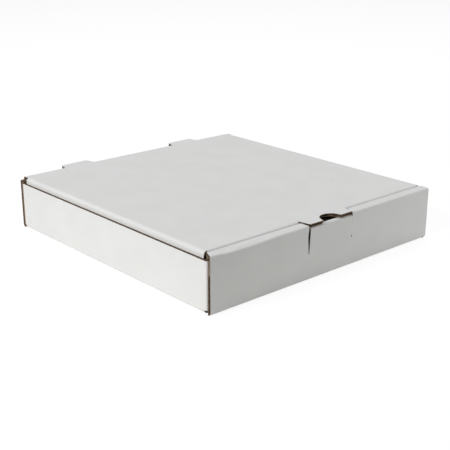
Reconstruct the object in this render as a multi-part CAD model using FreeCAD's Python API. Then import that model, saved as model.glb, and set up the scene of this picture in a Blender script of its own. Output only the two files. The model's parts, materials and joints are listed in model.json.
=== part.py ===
"""Corrugated pizza box, folded from one die-cut sheet of board, closed.

Frame: origin on the table, at the centre of the rectangle that the four walls
stand on. X runs across the box, -Y is the front that opens, +Z is up.
All sizes are millimetres.

The sheet is one piece that turns at its rear crease, so it is two nodes:
the tray is the floor, the four walls and their flaps, and the lid is the top
with its tuck flaps, front tab and two hinge tabs.
"""

import FreeCAD
import Part
import math
import os

Vector = FreeCAD.Vector

# The board
board = 3.0            # thickness of the corrugated board
fold_radius = 0.3      # inner radius of every crease
tight_radius = 2.1     # outer radius of a crease that is pressed tight
layer_slack = 0.2      # room beside a layer that lies against another
run_clearance = 0.4    # room between the lid and what it passes
front_room = 0.9       # from the rolled front wall back to the lid's front crease
knife_gap = 0.5        # width that a die knife opens when a flap is folded out of its hole
hinge_gap = 0.3        # room between the lid's round rear edge and the rear wall

# The box
inside_width = 305.0
inside_depth = 304.6
inside_height = 51.0
wall_drop = 3.6        # from the lid's underside down to the raw top edge of a side wall

# The rolled front wall
roll_room = 2.2        # room for the corner flap, beyond the three boards of the roll
roll_set = 0.3         # from the lid's top down to the rear edge of the roll
roll_fall = 1.2        # from the rear edge of the roll down to its front edge
roll_inset = 2.0       # the ends of the roll are cut this much shorter than the box
roll_taper = 16.0      # height over which the front wall's ends lean in to the roll

# Corner flaps, cut from the ends of the side walls
front_flap_reach = 78.0
rear_flap_reach = 46.0
flap_corner = 9.0      # radius of a corner flap's free corners
flap_shoulder = 4.0    # from the raw top of a side wall down to the top of its flaps
flap_lift = 0.5        # from the floor up to a corner flap

# Lock tabs of the rolled front wall, in slots through the floor
lock_centre = 84.0
lock_width = 40.0
lock_corner = 1.6
lock_side_room = 0.6
lock_recess = 0.4      # from a lock tab's end up to the underside of the floor

# Front tab of the lid, over the middle of the rolled front wall
tab_root_width = 66.0
tab_tip_width = 60.0
tab_tip_setback = 0.2  # from the front face back to the tab's edge
tab_corner = 1.2
tab_relief = 2.5       # cut off the strip's corners beside the root of the tab
thumb_radius = 12.5
thumb_offset = 0.6     # the thumb notch sits this far to the right of the middle
left_slit = 2.1        # the left slit stands open, the right one is nearly shut
left_slit_foot = 0.8
left_slit_shift = 0.9  # the left slit is this far outside the end of the tab's gap
left_slit_bulge = 1.1  # its outer edge bows out this much
left_slit_bow = 13.0   # from the lid's top down to where it bows most
left_slit_depth = 30.4
right_slit = 0.25
right_slit_depth = 27.6
slit_eye_radius = 0.8
lip_depth = 5.0        # from the front face to the raw edge of the lowered lip
window_drop = 10.0     # from the lid's underside down to the window in the inner panel

# Hinge tabs of the lid, cut out of the rear wall
hinge_tab_centre = 78.3
hinge_tab_root = 40.0
hinge_tab_tip = 34.0
hinge_tab_reach = 11.0
hinge_tab_corner = 2.0

# Tuck flaps of the lid
tuck_depth = 40.0
tuck_tilt = 5.0        # degrees past square, so that the flap clears the front wall
tuck_corner = 14.0
rear_side_room = 1.5   # from a side wall to the end of the rear crease
side_tuck_depth = 36.0
side_tuck_start = 7.0  # from the rear face to the side tuck flap
side_tuck_corner = 10.0
side_tuck_slant = 8.0  # degrees that the ends of a side tuck flap lean
side_tuck_room = 0.4   # from the lid's front crease to the side tuck flap

# What follows from them
outer_radius = fold_radius + board
roll = 3 * board + roll_room
height = board + inside_height + run_clearance + board
half_width = inside_width / 2 + board
half_depth = (roll + inside_depth + 2 * board + layer_slack) / 2
lid_underside = height - board
wall_top = lid_underside - wall_drop
hinge_y = half_depth - board / 2
hinge_z = height - board / 2
roll_back = -half_depth + roll
roll_slope = roll_fall / roll
front_flap_y = roll_back - board - layer_slack - board / 2
rear_flap_y = half_depth - board - layer_slack - board / 2
lid_front = roll_back + front_room
lid_half_width = inside_width / 2 - run_clearance
lid_flat = lid_half_width - outer_radius
lip_top = lid_underside - run_clearance
far = 2 * (half_width + half_depth)


def unit(a, b):
    """Direction from a to b in a section plane."""
    length = math.hypot(b[0] - a[0], b[1] - a[1])
    return ((b[0] - a[0]) / length, (b[1] - a[1]) / length)


def shifted(point, direction, length):
    return (point[0] + direction[0] * length, point[1] + direction[1] * length)


def on_yz(x):
    """Turns section points (y, z) into space at x."""
    return lambda p: Vector(x, p[0], p[1])


def on_xz(y):
    return lambda p: Vector(p[0], y, p[1])


def on_xy(z):
    return lambda p: Vector(p[0], p[1], z)


def straight(place, a, b):
    """The edge from a to b, or nothing where they are the same point."""
    if math.hypot(b[0] - a[0], b[1] - a[1]) < 1e-6:
        return []
    return [Part.LineSegment(place(a), place(b)).toShape()]


def bend(before, corner, after, radius):
    """Start, middle and end of the arc that rounds a corner, and its centre."""
    into, out = unit(before, corner), unit(corner, after)
    turn = math.atan2(into[0] * out[1] - into[1] * out[0], into[0] * out[0] + into[1] * out[1])
    setback = radius * math.tan(abs(turn) / 2)
    start, end = shifted(corner, into, -setback), shifted(corner, out, setback)
    side = math.copysign(1.0, turn)
    centre = shifted(start, (-into[1] * side, into[0] * side), radius)
    middle = shifted(centre, unit(centre, corner), radius)
    return start, middle, end, centre, side


def outline(place, corners):
    """A face whose corners (a, b, radius) are rounded where the radius isn't 0."""
    edges = []
    pen = None
    first = None
    count = len(corners)
    for i in range(count):
        before, corner, after = corners[i - 1], corners[i], corners[(i + 1) % count]
        if corner[2] > 0:
            start, middle, end, _, _ = bend(before, corner, after, corner[2])
            arc = [Part.Arc(place(start), place(middle), place(end)).toShape()]
        else:
            start, end, arc = corner[:2], corner[:2], []
        if pen is None:
            first = start
        else:
            edges += straight(place, pen, start)
        edges += arc
        pen = end
    edges += straight(place, pen, first)
    return Part.Face(Part.Wire(edges))


def plate(place, corners, along):
    return outline(place, corners).extrude(along)


def offset_line(line, offset):
    """A centreline moved sideways, with its corners mitred."""
    ways = [unit(a, b) for a, b in zip(line, line[1:])]
    sides = [(-way[1], way[0]) for way in ways]
    points = [shifted(line[0], sides[0], offset)]
    for corner, a, b in zip(line[1:-1], sides, sides[1:]):
        stretch = offset / (1 + a[0] * b[0] + a[1] * b[1])
        points.append(shifted(corner, (a[0] + b[0], a[1] + b[1]), stretch))
    return points + [shifted(line[-1], sides[-1], offset)]


def strip_side(place, line, offset, outer_radii):
    """One face of a folded strip, seen end on, as edges from its first point to its last."""
    points = offset_line(line, offset)
    edges = []
    pen = points[0]
    for before, corner, after, outer in zip(points, points[1:], points[2:], outer_radii):
        turn = bend(before, corner, after, fold_radius)[4]
        radius = fold_radius if turn * offset > 0 else outer
        start, middle, end, _, _ = bend(before, corner, after, radius)
        edges += straight(place, pen, start)
        edges.append(Part.Arc(place(start), place(middle), place(end)).toShape())
        pen = end
    return edges + straight(place, pen, points[-1]), points[0], points[-1]


def folded_strip(place, line, along, outer_radii=None):
    """Board of one thickness, folded at the inner points of a centreline."""
    outer_radii = outer_radii or [outer_radius] * (len(line) - 2)
    left, left_start, left_end = strip_side(place, line, board / 2, outer_radii)
    right, right_start, right_end = strip_side(place, line, -board / 2, outer_radii)
    ring = left + straight(place, left_end, right_end) + right + straight(place, right_start, left_start)
    return Part.Face(Part.Wire(Part.sortEdges(ring)[0])).extrude(along)


def block(low, high):
    return Part.makeBox(high[0] - low[0], high[1] - low[1], high[2] - low[2], Vector(*low))


def both_sides(shape):
    """A shape and its mirror image in the plane that halves the box."""
    return [shape, shape.mirror(Vector(0, 0, 0), Vector(1, 0, 0))]


def joined(shapes):
    return shapes[0].fuse(shapes[1:]).removeSplitter()


# The tray

def roll_middle(y):
    """Height of the middle of the roll's top board, which falls towards the front."""
    return height - roll_set - (roll_back - y) * roll_slope - board / 2 * math.hypot(1, roll_slope)


def wrap():
    """Inner front panel, roll, front wall, floor and rear wall, as one folded strip."""
    inner_y = roll_back - board / 2
    front_y = -half_depth + board / 2
    line = [
        (inner_y, board + layer_slack),
        (inner_y, roll_middle(inner_y)),
        (front_y, roll_middle(front_y)),
        (front_y, board / 2),
        (hinge_y, board / 2),
        (hinge_y, lid_underside - hinge_gap),
    ]
    outer_radii = [tight_radius, tight_radius, outer_radius, outer_radius]
    strip = folded_strip(on_yz(-half_width), line, Vector(2 * half_width, 0, 0), outer_radii)
    beside_floor = block(
        (half_width - outer_radius, -half_depth + outer_radius, -board),
        (half_width + board, half_depth - outer_radius, outer_radius + board),
    )
    beside_inner_panel = block(
        (inside_width / 2 - layer_slack, roll_back - board - fold_radius, -board),
        (half_width + board, roll_back + board, lid_underside - roll_set - roll_fall),
    )
    beside_roll = plate(on_xz(-half_depth - board), [
        (half_width, lid_underside - roll_taper, 0),
        (half_width - roll_inset, lid_underside, 0),
        (half_width - roll_inset, far, 0),
        (half_width + board, far, 0),
        (half_width + board, lid_underside - roll_taper, 0),
    ], Vector(0, roll + 2 * board, 0))
    return strip.cut(both_sides(beside_floor) + both_sides(beside_inner_panel) + both_sides(beside_roll))


def side_wall():
    """The left wall with its floor crease, up to its raw top edge."""
    wall_x = -half_width + board / 2
    start = corner_line(front_flap_reach, front_flap_y, 1)[0][1]
    end = half_depth - board - layer_slack - outer_radius
    line = [
        (-half_width + outer_radius, board / 2),
        (wall_x, board / 2),
        (wall_x, wall_top),
    ]
    return folded_strip(on_xz(start), line, Vector(0, end - start, 0))


def corner_line(reach, flap_y, inward):
    """Centreline of a corner flap in plan: out of the left wall, round, and along an end wall."""
    wall_x = -half_width + board / 2
    radius = fold_radius + board / 2
    return [(wall_x, flap_y + inward * radius), (wall_x, flap_y), (-half_width + reach, flap_y)]


def corner_flap(reach, flap_y, inward):
    """A flap that folds round a corner from the left wall and lies along an end wall."""
    bottom = board + flap_lift
    line = corner_line(reach, flap_y, inward)
    root = -half_width + outer_radius
    turn = folded_strip(on_xy(bottom), [line[0], line[1], (root, flap_y)],
                        Vector(0, 0, wall_top - bottom), [tight_radius])
    leaf = plate(on_xz(flap_y - board / 2), [
        (root, bottom, 0),
        (-half_width + reach, bottom, flap_corner),
        (-half_width + reach, wall_top - flap_shoulder, flap_corner),
        (root + flap_shoulder, wall_top - flap_shoulder, 0),
        (root, wall_top, 0),
    ], Vector(0, board, 0))
    return [turn, leaf]


def corner_flaps():
    return corner_flap(front_flap_reach, front_flap_y, 1) + corner_flap(rear_flap_reach, rear_flap_y, -1)


def lock_tab():
    """A tab on the foot of the inner front panel, down through the floor."""
    return plate(on_xz(roll_back - board), [
        (lock_centre - lock_width / 2, 2 * board, 0),
        (lock_centre - lock_width / 2, lock_recess, lock_corner),
        (lock_centre + lock_width / 2, lock_recess, lock_corner),
        (lock_centre + lock_width / 2, 2 * board, 0),
    ], Vector(0, board, 0))


def lock_slot():
    return block(
        (lock_centre - lock_width / 2 - lock_side_room, roll_back - board - layer_slack, -board),
        (lock_centre + lock_width / 2 + lock_side_room, roll_back + layer_slack, board + layer_slack / 2),
    )


def tab_gap():
    """The part of the roll that is cut away under and beside the lid's front tab."""
    tip = tab_tip_width / 2 + knife_gap
    root = tab_root_width / 2 + knife_gap
    rear = [
        (root + tab_relief, roll_back + board, 0),
        (root + tab_relief, roll_back, 0),
        (root, roll_back - tab_relief, 0),
    ]
    front = [(tip, -half_depth, 0), (tip, -half_depth - board, 0)]
    right = rear + front
    left = [(-x, y, r) for x, y, r in rear] + [(-x - left_slit_shift, y, r) for x, y, r in front]
    return plate(on_xy(lip_top - outer_radius), right + left[::-1], Vector(0, 0, far))


def inner_window():
    """Clears the inner front panel under the tab, where a thumb goes in."""
    root = tab_root_width / 2 + knife_gap
    return block(
        (-root, roll_back - board - layer_slack, lid_underside - window_drop),
        (root, roll_back + board, far),
    )


def lowered_lip():
    """The middle of the front wall, folded in one board lower so that the tab lies flush."""
    left = -tab_tip_width / 2 - knife_gap - left_slit_shift + left_slit
    right = tab_tip_width / 2 + knife_gap - right_slit
    line = [
        (-half_depth + board / 2, lip_top - outer_radius - board),
        (-half_depth + board / 2, lip_top - board / 2),
        (-half_depth + lip_depth, lip_top - board / 2),
    ]
    return folded_strip(on_yz(left), line, Vector(right - left, 0, 0), [tight_radius])


def slits():
    """The two cuts down the front wall beside the lowered lip."""
    edge = tab_tip_width / 2 + knife_gap
    outside = -edge - left_slit_shift
    front = -half_depth - board
    through = Vector(0, 2 * board + layer_slack, 0)
    left = plate(on_xz(front), [
        (outside, height, 0),
        (outside, lip_top, 0),
        (outside - left_slit_bulge, height - left_slit_bow, 0),
        (outside, height - left_slit_depth, 0),
        (outside + left_slit_foot, height - left_slit_depth, 0),
        (outside + left_slit, lip_top - outer_radius, 0),
        (outside + left_slit, height, 0),
    ], through)
    foot = height - right_slit_depth
    right = plate(on_xz(front), [
        (edge - right_slit, height, 0),
        (edge - right_slit, foot, 0),
        (edge, foot, 0),
        (edge, height, 0),
    ], through)
    eye_place = Vector(edge - right_slit / 2, front, foot)
    eye = Part.makeCylinder(slit_eye_radius, through.y, eye_place, Vector(0, 1, 0))
    return [left, right, eye]


def hinge_tab_outline(room, reach):
    """Corners of the right hinge tab, as (across, along) from the crease, with room all round."""
    root = hinge_tab_root / 2 + room
    tip = hinge_tab_tip / 2 + room
    return [
        (hinge_tab_centre - root, 0, 0),
        (hinge_tab_centre - tip, reach, hinge_tab_corner),
        (hinge_tab_centre + tip, reach, hinge_tab_corner),
        (hinge_tab_centre + root, 0, 0),
    ]


def hinge_notch():
    """The hole that a hinge tab leaves in the rear wall, and swings through."""
    reach = hinge_tab_reach + board / 2 + knife_gap
    corners = [(a, hinge_z - b, r) for a, b, r in hinge_tab_outline(knife_gap, reach)]
    return plate(on_xz(half_depth - 2 * board), corners, Vector(0, 3 * board, 0))


def tray():
    slots = both_sides(lock_slot())
    body = wrap().cut(slots + [tab_gap(), inner_window()])
    body = joined([body, lowered_lip()]).cut(slits() + both_sides(hinge_notch()))
    sides = [part for piece in [side_wall()] + corner_flaps() for part in both_sides(piece)]
    return joined([body] + sides + both_sides(lock_tab()))


# The lid

def tuck_line():
    """Centreline of the top and the front tuck flap, from the hinge forward and down."""
    tilt = math.radians(tuck_tilt)
    radius = fold_radius + board / 2
    centre = (lid_front + outer_radius, hinge_z - radius)
    down = (math.sin(tilt), -math.cos(tilt))
    foot = shifted(centre, (-math.cos(tilt), -math.sin(tilt)), radius)
    corner = shifted(foot, down, -(hinge_z - foot[1]) / math.cos(tilt))
    return [(hinge_y, hinge_z), corner, shifted(corner, down, tuck_depth - board / 2)]


def side_tuck():
    """The left tuck flap with its crease, hanging inside the left wall."""
    slant = math.tan(math.radians(side_tuck_slant)) * side_tuck_depth
    front = lid_front + side_tuck_room
    rear = half_depth - side_tuck_start
    flap_x = -lid_half_width + board / 2
    fold = folded_strip(on_xz(front), [
        (-lid_half_width + outer_radius, hinge_z),
        (flap_x, hinge_z),
        (flap_x, height - outer_radius),
    ], Vector(0, rear - front, 0))
    leaf = plate(on_yz(flap_x - board / 2), [
        (front, height - outer_radius, 0),
        (rear, height - outer_radius, 0),
        (rear - slant, height - side_tuck_depth, side_tuck_corner),
        (front + slant, height - side_tuck_depth, side_tuck_corner),
    ], Vector(board, 0, 0))
    return [fold, leaf]


def front_tab():
    """The tab that stays level with the top, with its thumb notch."""
    root_y = lid_front + outer_radius
    tip_y = -half_depth + tab_tip_setback
    root, tip = tab_root_width / 2, tab_tip_width / 2
    tab = plate(on_xy(lid_underside), [
        (-root, root_y, 0),
        (-tip, tip_y, tab_corner),
        (tip, tip_y, tab_corner),
        (root, root_y, 0),
    ], Vector(0, 0, board))
    thumb = Part.makeCylinder(thumb_radius, 3 * board, Vector(thumb_offset, tip_y, lid_underside - board))
    return tab.cut(thumb)


def tab_hole():
    """What the front tab leaves in the crease and in the tuck flap below it."""
    root = tab_root_width / 2
    root_y = lid_front + outer_radius
    tab_length = root_y + half_depth - tab_tip_setback
    crease_length = math.radians(90 + tuck_tilt) * (fold_radius + board / 2)
    drop = outer_radius + tab_length - crease_length
    return block((-root, roll_back, height - drop), (root, root_y, far))


def hinge_tab():
    corners = [(a, hinge_y + b, r) for a, b, r in hinge_tab_outline(0, hinge_tab_reach + board / 2)]
    return plate(on_xy(lid_underside), corners, Vector(0, 0, board))


def lid():
    line = tuck_line()
    end_x = inside_width / 2 - rear_side_room
    top = folded_strip(on_yz(-end_x), line, Vector(2 * end_x, 0, 0), [tight_radius])
    rim = block((lid_flat, -half_depth, 0), (half_width, half_depth - side_tuck_start, far))
    tuck_end = line[2][1]
    corner = plate(on_xz(-half_depth), [
        (lid_flat - tuck_corner, tuck_end - board, 0),
        (lid_flat + board, tuck_end - board, 0),
        (lid_flat + board, tuck_end + tuck_corner, 0),
        (lid_flat, tuck_end + tuck_corner, 0),
        (lid_flat, tuck_end, tuck_corner),
        (lid_flat - tuck_corner, tuck_end, 0),
    ], Vector(0, half_depth, 0))
    nose = Part.makeCylinder(board / 2, 2 * end_x, Vector(-end_x, hinge_y, hinge_z), Vector(1, 0, 0))
    top = top.cut(both_sides(rim) + both_sides(corner) + [tab_hole()])
    flaps = [part for piece in side_tuck() + [hinge_tab()] for part in both_sides(piece)]
    return joined([top, nose, front_tab()] + flaps)


def main():
    os.makedirs("parts", exist_ok=True)
    for name, shape in (("tray", tray()), ("lid", lid())):
        solids = shape.Solids
        print(name, len(solids), "solid,", round(shape.Volume / 1000, 1), "cm3, valid", shape.isValid())
        solid = solids[0] if len(solids) == 1 else Part.makeCompound(solids)
        solid.exportStep("parts/" + name + ".step")


main()
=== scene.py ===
"""Corrugated pizza box: board with a white side and a brown side, and fluted raw edges."""

import json
import math

import bmesh
import bpy
from mathutils import Matrix, Vector
from mathutils.bvhtree import BVHTree

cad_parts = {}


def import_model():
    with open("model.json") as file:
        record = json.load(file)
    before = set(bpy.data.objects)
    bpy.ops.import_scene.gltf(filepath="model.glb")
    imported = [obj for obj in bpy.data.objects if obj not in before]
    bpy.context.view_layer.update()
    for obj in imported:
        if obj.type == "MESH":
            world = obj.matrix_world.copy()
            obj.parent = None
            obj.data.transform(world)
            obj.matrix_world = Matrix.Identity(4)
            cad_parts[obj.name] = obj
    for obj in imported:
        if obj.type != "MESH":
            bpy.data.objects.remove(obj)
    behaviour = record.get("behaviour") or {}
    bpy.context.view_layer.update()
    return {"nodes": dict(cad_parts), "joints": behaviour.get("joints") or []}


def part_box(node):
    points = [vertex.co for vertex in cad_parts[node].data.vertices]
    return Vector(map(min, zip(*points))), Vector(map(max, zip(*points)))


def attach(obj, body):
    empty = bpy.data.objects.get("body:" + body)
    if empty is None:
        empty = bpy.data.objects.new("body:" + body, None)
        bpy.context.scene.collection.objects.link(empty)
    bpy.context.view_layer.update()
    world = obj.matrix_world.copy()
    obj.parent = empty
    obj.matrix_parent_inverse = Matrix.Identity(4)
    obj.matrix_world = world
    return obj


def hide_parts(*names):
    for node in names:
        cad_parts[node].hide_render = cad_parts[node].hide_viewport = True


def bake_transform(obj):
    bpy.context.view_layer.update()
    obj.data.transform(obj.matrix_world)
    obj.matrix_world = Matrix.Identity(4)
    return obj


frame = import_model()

MM = 0.001

# The board
BOARD = 3.0 * MM
LINER = 0.38 * MM           # each flat paper of the board
MEDIUM = 0.30 * MM          # the fluted paper between them
FLUTE_PITCH = 6.5 * MM
FLUTE_SKEW = 0.02           # sideways drift of the flutes over their length
FLUTE_DEPTHS = [d * MM for d in (0.06, 0.8, 1.6, 2.4, 3.3)]  # where it is drawn, inwards from a cut edge
WAVE_STEP = 0.55 * MM
CHANNEL_DEPTH = 3.0 * MM    # how far in the air between the papers shows at a cut edge
CHANNEL_TAPER = 0.45 * MM   # it narrows by this much on each side towards its end
SMOOTH = math.radians(35)   # faces that meet at less than this are one surface
ALONG = 0.9                 # a direction counts as along an axis past this share
SLANTED = 0.3               # a cut edge isn't square to the sheet past this share
SIDEWAYS = 0.7              # the sheet stands at the box's side past this share
LEAST_CHANNEL = 1.5 * LINER  # where the channel's floor is kept at a tight fold
FOLD_SHARE = 0.9            # how much of the way to a fold's centre the channel may reach
SHARPEST = -0.5             # cosine past which a mitre isn't made longer

# Kinds of face, which are also the material slots of the board; the hollow of a cut edge is coloured
# near-black as painted shade
WHITE, BROWN, RAW, SHADED_HOLLOW = range(4)

WELD = 1e-6
SKIM = 1e-5
PLAY = 0.05 * MM            # for telling which part of the sheet a point is in
SKIN_PLAY = 0.04 * MM       # for telling whether a face is one board in front of the other side

tray_low, tray_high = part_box("tray")
BOX_CENTRE = Vector((0, 0, tray_high.z / 2))

# The round fold where the lid turns
HINGE = frame["joints"][0]["pos_m"]
HINGE_Y, HINGE_Z = HINGE[1], HINGE[2]
WALL_OUT = HINGE_Y + BOARD / 2
WALL_IN = HINGE_Y - BOARD / 2
WALL_TOP = HINGE_Z - BOARD / 2 - 0.3 * MM
LID_UNDER = HINGE_Z - BOARD / 2

# The rolled front wall
ROLL = 11.2 * MM            # its depth
ROLL_BACK = tray_low.y + ROLL
ROLL_CENTRE = Vector((0, tray_low.y + ROLL / 2, tray_high.z / 2))
FRONT_IN = tray_low.y + BOARD + 0.4 * MM
STRIP_FOOT = 52.5 * MM      # its top board is above this
END_REACH = 152.25 * MM     # its cut ends are past this
PANEL_END = (151.0 * MM, 152.4 * MM)    # the cut ends of its inner panel are between these

# How the real one lies off true: its ends, its front crease, its right slit and its lowered lip
LEFT_END = (-155.5 * MM, -150.4 * MM)   # at its front and at its rear
RIGHT_END = (153.5 * MM, 152.0 * MM)
SAG = (0.9 * MM, -0.9 * MM)             # of the crease, at the left corner and where it dips
SAG_DIP, SAG_FADE, SAG_END = 26 * MM, 55 * MM, 90 * MM  # where it dips, starts to level and is level
SAG_CUTS = (5, 10, 15, 20, 26, 40, 55, 65, 75, 90)      # all from the left corner, these in mm
SAG_FOOT = 49.5 * MM
SAG_BACK = FRONT_IN + 0.4 * MM
SLIT_X = 30.44 * MM         # the right slit is pressed nearly shut
SLIT_REACH = 1.2 * MM
SLIT_EYE = 32 * MM          # its round end is below this, and its straight sides above SLIT_SIDES
SLIT_SIDES = 34 * MM
SLIT_EDGE = 0.2 * MM
SLIT_RISE = 1.6 * MM
LIP_SPAN = (-29.5 * MM, 30.6 * MM)
LIP_BACK = tray_low.y + 5.1 * MM
LIP_FOOT = 50.9 * MM
LIP_DROP = 0.6 * MM

# The flaps folded round the tray's corners, from their front to their rear
FLAP_REACH = 80 * MM
FLAP_ROOM = 0.5 * MM
FRONT_FLAP = (ROLL_BACK - 2 * BOARD - FLAP_ROOM, ROLL_BACK - BOARD - 2 * PLAY)
REAR_FLAP = (tray_high.y - 2 * BOARD - FLAP_ROOM, tray_high.y - BOARD - 2 * PLAY)

# Where the lid's front crease meets its side creases
LID_CORNER_X = 147 * MM
LID_CORNER_BACK = ROLL_BACK + 3 * MM
LID_CORNER_FOOT = 50 * MM


# The white side, the brown side and the raw edges of the sheet

def in_corner_flap(point):
    """Whether a point of the tray lies in one of the flaps folded round its corners."""
    return (abs(point.x) > tray_high.x - FLAP_REACH
            and (FRONT_FLAP[0] < point.y < FRONT_FLAP[1] or REAR_FLAP[0] < point.y < REAR_FLAP[1]))


def faces_out(node, centre, normal):
    """Whether a face is on the white side of the sheet."""
    middle = BOX_CENTRE
    if node == "tray" and centre.y < ROLL_BACK + 2 * PLAY:
        middle = ROLL_CENTRE
        if in_corner_flap(centre) and abs(normal.y) > ALONG:
            return normal.y < 0
    return normal.dot(centre - middle) > 0


def on_nose(point):
    """Whether a point lies on the round fold where the lid turns."""
    return (point.y > HINGE_Y + PLAY
            and math.hypot(point.y - HINGE_Y, point.z - HINGE_Z) < BOARD / 2 + PLAY)


def smooth_regions(bm):
    """Groups of faces that run smoothly into each other."""
    seen = set()
    for first in bm.faces:
        if first in seen:
            continue
        seen.add(first)
        region, queue = [], [first]
        while queue:
            face = queue.pop()
            region.append(face)
            for edge in face.edges:
                for other in edge.link_faces:
                    if other not in seen and face.normal.angle(other.normal, math.pi) < SMOOTH:
                        seen.add(other)
                        queue.append(other)
        yield region


def is_raw(region, tree):
    """Whether a surface is a cut edge: most of it isn't one board in front of the other side."""
    area = skin = 0.0
    for face in region:
        centre, normal = face.calc_center_median(), face.normal
        hit = tree.ray_cast(centre - normal * SKIM, -normal)
        area += face.calc_area()
        if hit[0] is not None and abs(hit[3] + SKIM - BOARD) < SKIN_PLAY:
            skin += face.calc_area()
    return skin < area / 2


def clamped(t):
    return min(max(t, 0), 1)


def roll_end(point):
    """Where the rolled front wall ends beside a point."""
    front, rear = LEFT_END if point.x < 0 else RIGHT_END
    if point.z < STRIP_FOOT and point.y < FRONT_IN:
        return front
    return front + (rear - front) * clamped((point.y - tray_low.y) / ROLL)


def crease_sag(x):
    """How far the roll's front crease lies off its line, beside the left corner."""
    along = x - LEFT_END[0]
    dip = clamped(along / SAG_DIP)
    height = SAG[0] + (SAG[1] - SAG[0]) * dip * dip * (3 - 2 * dip)
    return height * (1 - clamped((along - SAG_FADE) / (SAG_END - SAG_FADE)))


def settle_roll(bm):
    """Moves the roll's front crease, its ends, its right slit and its lip to where they really lie."""
    for along in SAG_CUTS:
        geometry = bm.verts[:] + bm.edges[:] + bm.faces[:]
        place = (LEFT_END[0] + along * MM, 0, 0)
        bmesh.ops.bisect_plane(bm, geom=geometry, plane_co=place, plane_no=(1, 0, 0))
    for v in bm.verts:
        p = v.co
        if p.z > SAG_FOOT and p.y < SAG_BACK:
            p.z += crease_sag(p.x)
        in_front = p.y < FRONT_IN
        in_strip = p.z > STRIP_FOOT and p.y < ROLL_BACK + PLAY
        in_inner_panel = ROLL_BACK - BOARD - PLAY < p.y < ROLL_BACK + PLAY and p.z > BOARD + 3 * PLAY
        if (in_front or in_strip) and abs(p.x) > END_REACH:
            p.x = roll_end(p)
        elif in_inner_panel and PANEL_END[0] < abs(p.x) < PANEL_END[1]:
            p.x = (LEFT_END if p.x < 0 else RIGHT_END)[1]
        elif in_front and abs(p.x - SLIT_X) < SLIT_REACH:
            if p.z < SLIT_EYE:
                p.z += SLIT_RISE
            if p.x < SLIT_X and (p.z > SLIT_SIDES or abs(p.x - SLIT_X) < SLIT_EDGE):
                p.x = SLIT_X
        if p.y < LIP_BACK and LIP_SPAN[0] < p.x < LIP_SPAN[1] and p.z > LIP_FOOT:
            p.z -= LIP_DROP
    bmesh.ops.dissolve_degenerate(bm, edges=bm.edges, dist=WELD)


def at_front_corner(point):
    """Whether a point of the lid lies where its front crease meets a side crease."""
    return abs(point.x) > LID_CORNER_X and point.y < LID_CORNER_BACK and point.z > LID_CORNER_FOOT


def board_mesh(node):
    bm = bmesh.new()
    bm.from_mesh(frame["nodes"][node].data)
    bmesh.ops.remove_doubles(bm, verts=bm.verts, dist=WELD)
    if node == "tray":
        settle_roll(bm)
    bm.normal_update()
    tree = BVHTree.FromBMesh(bm)
    for region in smooth_regions(bm):
        raw = is_raw(region, tree)
        for face in region:
            # The lid's front right corner is pressed shut and shows no cut edge
            centre = face.calc_center_median()
            if raw and not (node == "lid" and centre.x > 0 and at_front_corner(centre)):
                face.material_index = RAW
            elif node == "lid" and on_nose(centre):
                face.material_index = WHITE if centre.z > HINGE_Z else BROWN
            else:
                face.material_index = WHITE if faces_out(node, centre, face.normal) else BROWN
    return bm


def edge_chains(node, bm):
    """Lines where a raw edge meets the white side, as lists of (point, white normal, raw normal)."""
    links = {}
    for edge in bm.edges:
        kinds = [f.material_index for f in edge.link_faces]
        if sorted(kinds) != [WHITE, RAW]:
            continue
        middle = (edge.verts[0].co + edge.verts[1].co) / 2
        white = edge.link_faces[kinds.index(WHITE)].normal
        raw = edge.link_faces[kinds.index(RAW)].normal
        if abs(white.dot(raw)) > SLANTED or skipped(node, middle, raw):
            continue
        for v in edge.verts:
            links.setdefault(v, []).append((edge, white.copy(), raw.copy()))
    chains = []
    used = set()
    starts = [v for v in links if len(links[v]) != 2] + list(links)
    for start in starts:
        for first in links[start]:
            if first[0] in used:
                continue
            points, here, step = [], start, first
            before = None
            while step is not None:
                used.add(step[0])
                points.append((here.co.copy(), before, step))
                here = step[0].other_vert(here)
                before = step
                options = [s for s in links[here] if s[0] not in used] if len(links[here]) == 2 else []
                step = options[0] if options else None
            closed = here is start
            if closed:
                points[0] = (points[0][0], before, points[0][2])
            points.append((here.co.copy(), before, points[0][2] if closed else None))
            chains.append([(co,) + corner_frame(a, b) for co, a, b in points])
    return chains


def corner_frame(before, after):
    """White and raw normals where two steps of a line meet, the raw one long enough for a mitre."""
    before, after = before or after, after or before
    white = (before[1] + after[1]).normalized()
    raw = (before[2] + after[2]) / (1 + max(before[2].dot(after[2]), SHARPEST))
    return white, raw - white * raw.dot(white)


def skipped(node, middle, raw):
    """Edges that get no flutes: the crease where the lid turns and the lid's small front corners."""
    if node == "lid":
        return on_nose(middle) or at_front_corner(middle)
    return raw.z > ALONG and middle.z > HINGE_Z - BOARD and middle.y > HINGE_Y - BOARD


def chain_length(chain):
    return sum((b[0] - a[0]).length for a, b in zip(chain, chain[1:]))


def is_closed(chain):
    return (chain[0][0] - chain[-1][0]).length < WELD


def trimmed(chain, amount):
    """The open line without a short stretch at each end."""
    if is_closed(chain):
        return chain
    out = list(chain)
    for _ in range(2):
        out.reverse()
        left = amount
        while len(out) > 2 and (out[1][0] - out[0][0]).length <= left:
            left -= (out[1][0] - out[0][0]).length
            out.pop(0)
        span = (out[1][0] - out[0][0]).length
        out[0] = mixed(out[0], out[1], left / span) if span > left else out[0]
    return out


def mixed(a, b, t):
    return (a[0].lerp(b[0], t), a[1].lerp(b[1], t).normalized(), a[2].lerp(b[2], t))


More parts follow.
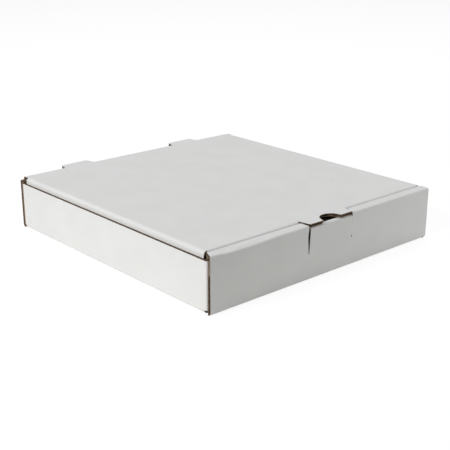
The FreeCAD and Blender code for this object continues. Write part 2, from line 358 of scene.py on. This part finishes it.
def sweep(bm, rings, closed, kind):
    """Joins rings of corners into a tube."""
    verts = [[bm.verts.new(p) for p in ring] for ring in rings]
    count = len(rings[0])
    pairs = list(zip(verts, verts[1:]))
    if closed:
        pairs.append((verts[-1], verts[0]))
    faces = []
    for a, b in pairs:
        for i in range(count):
            j = (i + 1) % count
            faces.append(bm.faces.new((a[i], a[j], b[j], b[i])))
    if not closed:
        faces.append(bm.faces.new(list(reversed(verts[0]))))
        faces.append(bm.faces.new(verts[-1]))
    for f in faces:
        f.material_index = kind


def fold_limits(line, closed):
    """How deep the channel may be at each point, so that it doesn't cross itself at a tight fold."""
    limits = [BOARD - LINER] * len(line)
    for i in range(len(line) - 1):
        (a, white_a, _), (b, white_b, _) = line[i], line[i + 1]
        turn = (white_b - white_a).dot(b - a)
        if turn > 0:
            limit = max(LEAST_CHANNEL, FOLD_SHARE * (b - a).length_squared / turn)
            limits[i], limits[i + 1] = min(limits[i], limit), min(limits[i + 1], limit)
    if closed:
        limits[0] = limits[-1] = min(limits[0], limits[-1])
    return limits


def channel_cutter(chain):
    """What is cut out of a raw edge between the two flat papers."""
    bm = bmesh.new()
    line = trimmed(chain, LINER)
    closed = is_closed(line)
    rings = []
    depths = fold_limits(line, closed)
    for (point, white, raw), depth in zip(line[:-1] if closed else line, depths):
        near, far = point - white * LINER, point - white * depth
        back = raw * CHANNEL_DEPTH
        taper = white * CHANNEL_TAPER
        rings.append([near + raw * MM, far + raw * MM, far - back + taper, near - back - taper])
    # The channel's walls take the near-black painted shade of its hollow
    sweep(bm, rings, closed, SHADED_HOLLOW)
    bmesh.ops.recalc_face_normals(bm, faces=bm.faces)
    return bm


def flute_axis(node, point, white):
    """Direction of the flutes in the folded sheet: across the box, and up in its side walls."""
    side = abs(white.x) > SIDEWAYS or (node == "tray" and in_corner_flap(point))
    return Vector((0, 0, 1)) if side else Vector((1, 0, 0))


def resampled(chain, step):
    out = []
    for a, b in zip(chain, chain[1:]):
        n = max(1, math.ceil((b[0] - a[0]).length / step))
        out += [mixed(a, b, k / n) for k in range(n)]
    return out + [chain[-1]]


def flute_mesh(node, chains):
    """The fluted paper, as it shows in the channel of each raw edge."""
    bm = bmesh.new()
    swing = (BOARD - 2 * LINER - MEDIUM) / 2
    for chain in chains:
        line = resampled(trimmed(chain, 2 * LINER), WAVE_STEP)
        closed = is_closed(line)
        across = 0.0
        rings = []
        for i, (point, white, raw) in enumerate(line):
            axis = flute_axis(node, point, white)
            over = white.cross(axis).normalized()
            if i:
                move = point - line[i - 1][0]
                across += move.dot(over) + FLUTE_SKEW * move.dot(axis)
            near, far = [], []
            for depth in FLUTE_DEPTHS:
                phase = 2 * math.pi * (across - depth * raw.dot(over)) / FLUTE_PITCH
                middle = point - raw * depth - white * (BOARD / 2 - swing * math.sin(phase))
                near.append(middle + white * MEDIUM / 2)
                far.append(middle - white * MEDIUM / 2)
            rings.append(near + far[::-1])
        sweep(bm, rings[:-1] if closed else rings, closed, 0)
    bmesh.ops.recalc_face_normals(bm, faces=bm.faces)
    return bm


def new_object(name, bm, materials):
    mesh = bpy.data.meshes.new(name)
    bm.to_mesh(mesh)
    bm.free()
    for material in materials:
        mesh.materials.append(material)
    obj = bpy.data.objects.new(name, mesh)
    bpy.context.scene.collection.objects.link(obj)
    return obj


def apply_modifiers(obj):
    depsgraph = bpy.context.evaluated_depsgraph_get()
    mesh = bpy.data.meshes.new_from_object(obj.evaluated_get(depsgraph))
    obj.modifiers.clear()
    old, obj.data = obj.data, mesh
    bpy.data.meshes.remove(old)


def shade(obj):
    """Smooth folds and flutes, and crisp cut edges."""
    obj.data.shade_smooth()
    obj.data.set_sharp_from_angle(angle=SMOOTH)
    weigh = obj.modifiers.new("weigh", "WEIGHTED_NORMAL")
    weigh.keep_sharp = True
    apply_modifiers(obj)


def mark_ribs(node, mesh):
    """Keeps how far each corner lies across the flutes, for their faint ribs in the papers."""
    across = mesh.attributes.new("across", "FLOAT", "CORNER")
    for face in mesh.polygons:
        over = face.normal.cross(flute_axis(node, face.center, face.normal))
        for i in face.loop_indices:
            across.data[i].value = mesh.vertices[mesh.loops[i].vertex_index].co.dot(over)


def build_board(node, materials):
    bm = board_mesh(node)
    chains = [c for c in edge_chains(node, bm) if chain_length(c) > BOARD]
    board = new_object(node + "_board", bm, materials)
    for chain in chains:
        cutter = new_object("cutter", channel_cutter(chain), materials)
        cut = board.modifiers.new("channel", "BOOLEAN")
        cut.operation = "DIFFERENCE"
        cut.solver = "MANIFOLD"
        cut.object = cutter
        apply_modifiers(board)
        bpy.data.objects.remove(cutter)
    # The flutes take the cut edges' colour, which is partly painted shade
    flutes = new_object(node + "_flutes", flute_mesh(node, chains), [materials[RAW]])
    for piece in (board, flutes):
        shade(piece)
        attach(piece, node)
    mark_ribs(node, board.data)
    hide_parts(node)


# The papers of the sheet where it bends at the lid's crease

CREASE_SPANS = ((-151.0, -98.8), (-57.8, 57.8), (98.8, 151.0))  # beside the hinge tabs, in mm
CREASE_STEP = 0.15 * MM
OUTSIDE_PAPER = 0.06 * MM
INSIDE_PAPER = 0.12 * MM
CREASE_LAP = 2 * MM         # the papers start this far down the wall
LID_LAP = 3 * MM            # the inside one ends this far under the lid


def crease_paper(name, path, thickness, material):
    """Thin paper along a path of (y, z) points, in one length for each span of the crease."""
    points = [Vector((0, *path[0]))]
    for goal in path[1:]:
        goal = Vector((0, *goal))
        count = max(1, round((goal - points[-1]).length / CREASE_STEP))
        points += [points[-1].lerp(goal, (k + 1) / count) for k in range(count)]
    bm = bmesh.new()
    for low, high in CREASE_SPANS:
        rings = []
        for i, point in enumerate(points):
            along = points[min(i + 1, len(points) - 1)] - points[max(i - 1, 0)]
            off = Vector((0, along.z, -along.y)).normalized() * thickness
            near, far = Vector((low * MM, 0, 0)), Vector((high * MM, 0, 0))
            rings.append([point + near, point + far, point + far + off, point + near + off])
        sweep(bm, rings, False, 0)
    bmesh.ops.recalc_face_normals(bm, faces=bm.faces)
    piece = new_object(name, bm, [material])
    shade(piece)
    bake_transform(piece)


def crease_papers(materials):
    crease_paper(
        "crease_outside",
        [(WALL_OUT, WALL_TOP - CREASE_LAP), (WALL_OUT, HINGE_Z)],
        OUTSIDE_PAPER, materials[WHITE],
    )
    crease_paper(
        "crease_inside",
        [(WALL_IN, WALL_TOP - CREASE_LAP), (WALL_IN, WALL_TOP - 0.1 * MM),
         (WALL_IN - 0.4 * MM, LID_UNDER), (WALL_IN - LID_LAP, LID_UNDER)],
        -INSIDE_PAPER, materials[BROWN],
    )


# Materials

CLOUD_SCALE = 30            # per metre
SPECK_SCALE = 900
FIBRE_SCALE = (1600, 500, 1600)


def add(tree, kind, inputs=None, **settings):
    """Adds a shader node, with its settings, and its inputs as numbers, colours or links."""
    made = tree.nodes.new(kind)
    for key, value in settings.items():
        setattr(made, key, value)
    for key, value in (inputs or {}).items():
        if isinstance(value, bpy.types.NodeSocket):
            tree.links.new(value, made.inputs[key])
        else:
            made.inputs[key].default_value = value
    return made


def noise(tree, place, scale, detail):
    return add(tree, "ShaderNodeTexNoise", {"Vector": place, "Scale": scale, "Detail": detail}).outputs[0]


def ranged(tree, value, low, high, to_low=0.0, to_high=1.0):
    ends = {"Value": value, "From Min": low, "From Max": high, "To Min": to_low, "To Max": to_high}
    return add(tree, "ShaderNodeMapRange", ends).outputs[0]


def calculated(tree, operation, a, b):
    return add(tree, "ShaderNodeMath", {0: a, 1: b}, operation=operation).outputs[0]


def blended(tree, share, a, b):
    return add(tree, "ShaderNodeMix", {0: share, 6: a, 7: b}, data_type="RGBA").outputs[2]


def paper(name, colour, cloud, fleck, flecks, roughness, rib, grain):
    """Paper with a cloudy tone, short fibres and flecks, and the faint ribs of the flutes under it.

    flecks is how strongly the flecks show, and rib and grain are heights in mm.
    """
    material = bpy.data.materials.new(name)
    material.use_nodes = True
    tree = material.node_tree
    shader = tree.nodes["Principled BSDF"]
    place = add(tree, "ShaderNodeTexCoord").outputs["Object"]
    lying = add(tree, "ShaderNodeMapping", {"Vector": place, "Scale": FIBRE_SCALE}).outputs[0]
    cloudy = ranged(tree, noise(tree, place, CLOUD_SCALE, 3.0), 0.35, 0.65)
    fibres = noise(tree, lying, 1.0, 4.0)
    specks = ranged(tree, noise(tree, place, SPECK_SCALE, 1.0), 0.66, 0.74, 0.0, flecks)
    streaks = ranged(tree, fibres, 0.45, 0.75, 0.0, 0.35 * flecks)
    tone = blended(tree, cloudy, (*colour, 1), (*cloud, 1))
    tone = blended(tree, calculated(tree, "MAXIMUM", specks, streaks), tone, (*fleck, 1))
    tree.links.new(tone, shader.inputs["Base Color"])
    dull = ranged(tree, fibres, 0.3, 0.7, roughness - 0.05, roughness + 0.05)
    tree.links.new(dull, shader.inputs["Roughness"])
    turns = add(tree, "ShaderNodeAttribute", attribute_name="across").outputs["Fac"]
    wave = calculated(tree, "SINE", calculated(tree, "MULTIPLY", turns, 2 * math.pi / FLUTE_PITCH), 0.0)
    ribs = calculated(tree, "MULTIPLY", wave, rib)
    height = calculated(tree, "ADD", ribs, calculated(tree, "MULTIPLY", fibres, grain))
    bump = add(tree, "ShaderNodeBump", {"Height": height, "Strength": 1.0, "Distance": MM})
    tree.links.new(bump.outputs[0], shader.inputs["Normal"])
    return material


MATERIALS = [
    paper("white liner", (0.815, 0.815, 0.81), (0.79, 0.79, 0.785), (0.62, 0.58, 0.52),
          flecks=0.15, roughness=0.60, rib=0.006, grain=0.012),
    paper("brown liner", (0.455, 0.315, 0.194), (0.425, 0.292, 0.178), (0.27, 0.18, 0.11),
          flecks=0.55, roughness=0.78, rib=0.020, grain=0.040),
    # Cut edges: darker than the kraft liner as cut paper is, and darker still as painted shade of
    # shadowed edges
    paper("cut paper, partly painted shade", (0.21, 0.148, 0.10), (0.175, 0.122, 0.082), (0.115, 0.08, 0.05),
          flecks=0.60, roughness=0.90, rib=0.0, grain=0.080),
    # The paper inside the channels is kraft brown; this near-black is painted shade of the narrow hollow
    paper("paper in the flutes with painted shade", (0.07, 0.048, 0.031), (0.056, 0.038, 0.025), (0.04, 0.027, 0.017),
          flecks=0.50, roughness=0.90, rib=0.0, grain=0.060),
]

for part in ("tray", "lid"):
    build_board(part, MATERIALS)
crease_papers(MATERIALS)


# Floor, world and lights

FLOOR_SIZE = 12
FLOOR_GAP = 0.2 * MM        # the box stands this far above it
BOUNCE_REACH = (0.22, 0.60)  # the floor's bounced light fades out between these, in m from the middle


def seen_directly(tree):
    """1 for the rays that show the background itself: the camera's, reflections and transmission."""
    path = add(tree, "ShaderNodeLightPath")
    glossy, through = path.outputs["Is Glossy Ray"], path.outputs["Is Transmission Ray"]
    mirrored = calculated(tree, "MAXIMUM", glossy, through)
    return calculated(tree, "MAXIMUM", path.outputs["Is Camera Ray"], mirrored)


def floor():
    """A plain pale floor: white with the object's shadow, and duller for the light it bounces."""
    bpy.ops.mesh.primitive_plane_add(size=FLOOR_SIZE)
    plane = bpy.context.object
    plane.name = "floor"
    plane.location.z = -FLOOR_GAP
    material = bpy.data.materials.new("pale floor")
    material.use_nodes = True
    tree = material.node_tree
    tree.nodes.clear()
    place = add(tree, "ShaderNodeNewGeometry").outputs["Position"]
    reach = add(tree, "ShaderNodeVectorMath", {0: place}, operation="LENGTH").outputs["Value"]
    ends = {"Value": reach, "From Min": BOUNCE_REACH[0], "From Max": BOUNCE_REACH[1]}
    fade = add(tree, "ShaderNodeMapRange", ends, interpolation_type="SMOOTHSTEP").outputs[0]
    bounce = blended(tree, fade, (0.86, 0.86, 0.82, 1), (0.30, 0.30, 0.29, 1))
    lit = add(tree, "ShaderNodeBsdfDiffuse", {"Color": bounce}).outputs[0]
    dim = add(tree, "ShaderNodeBsdfDiffuse", {"Color": (0.22, 0.22, 0.22, 1)}).outputs[0]
    glow = add(tree, "ShaderNodeEmission", {"Strength": 0.86}).outputs[0]
    seen = add(tree, "ShaderNodeAddShader", {0: dim, 1: glow}).outputs[0]
    mix = add(tree, "ShaderNodeMixShader", {0: seen_directly(tree), 1: lit, 2: seen}).outputs[0]
    add(tree, "ShaderNodeOutputMaterial", {"Surface": mix})
    plane.data.materials.append(material)


def world(strength):
    studio = bpy.data.worlds.new("studio")
    bpy.context.scene.world = studio
    studio.use_nodes = True
    tree = studio.node_tree
    tree.nodes.clear()
    room = add(tree, "ShaderNodeBackground", {"Color": (1, 1, 1, 1), "Strength": strength}).outputs[0]
    white = add(tree, "ShaderNodeBackground", {"Color": (1, 1, 1, 1), "Strength": 1.0}).outputs[0]
    mix = add(tree, "ShaderNodeMixShader", {0: seen_directly(tree), 1: room, 2: white}).outputs[0]
    add(tree, "ShaderNodeOutputWorld", {"Surface": mix})


def soft_light(name, place, target, size, power):
    data = bpy.data.lights.new(name, "AREA")
    data.shape = "DISK"
    data.size = size
    data.energy = power
    light = bpy.data.objects.new(name, data)
    bpy.context.scene.collection.objects.link(light)
    light.location = place
    light.visible_camera = False
    light.rotation_euler = (Vector(target) - Vector(place)).to_track_quat("-Z", "Y").to_euler()


floor()
world(0.236)
soft_light("key", (-2.5, 0.0, 1.3), (0, 0, 0), 1.2, 47.6)
soft_light("high", (1.0, 0.9, 2.4), (0, 0, 0), 1.2, 19.6)
soft_light("fill", (0.50, -0.60, 0.18), (0.12, -0.16, 0.03), 0.3, 0.81)

# Camera

FOCAL_PIXELS = 931.3      # for the photo's 450 pixels
PHOTO_PIXELS = 450
SENSOR = 36.0
AZIMUTH = math.radians(-41.62)
ELEVATION = math.radians(19.36)
ROLL_ANGLE = math.radians(0.05)
DISTANCE = 1025.4 * MM
AIM = Vector((0, 0, 25 * MM))
SHIFT_ACROSS = 3.4 * MM
SHIFT_UP = -16.6 * MM


def camera():
    flat = math.cos(ELEVATION)
    back = Vector((math.sin(AZIMUTH) * flat, -math.cos(AZIMUTH) * flat, math.sin(ELEVATION)))
    level = Vector((0, 0, 1)).cross(back).normalized()
    above = back.cross(level)
    across = level * math.cos(ROLL_ANGLE) + above * math.sin(ROLL_ANGLE)
    up = above * math.cos(ROLL_ANGLE) - level * math.sin(ROLL_ANGLE)
    place = AIM + back * DISTANCE + across * SHIFT_ACROSS + up * SHIFT_UP
    data = bpy.data.cameras.new("camera")
    data.sensor_width = SENSOR
    data.lens = FOCAL_PIXELS * SENSOR / PHOTO_PIXELS
    data.clip_start = 0.01
    cam = bpy.data.objects.new("camera", data)
    bpy.context.scene.collection.objects.link(cam)
    turn = Matrix((across, up, back)).transposed().to_4x4()
    cam.matrix_world = Matrix.Translation(place) @ turn
    bpy.context.scene.camera = cam


camera()
bpy.context.scene.view_settings.view_transform = "Standard"
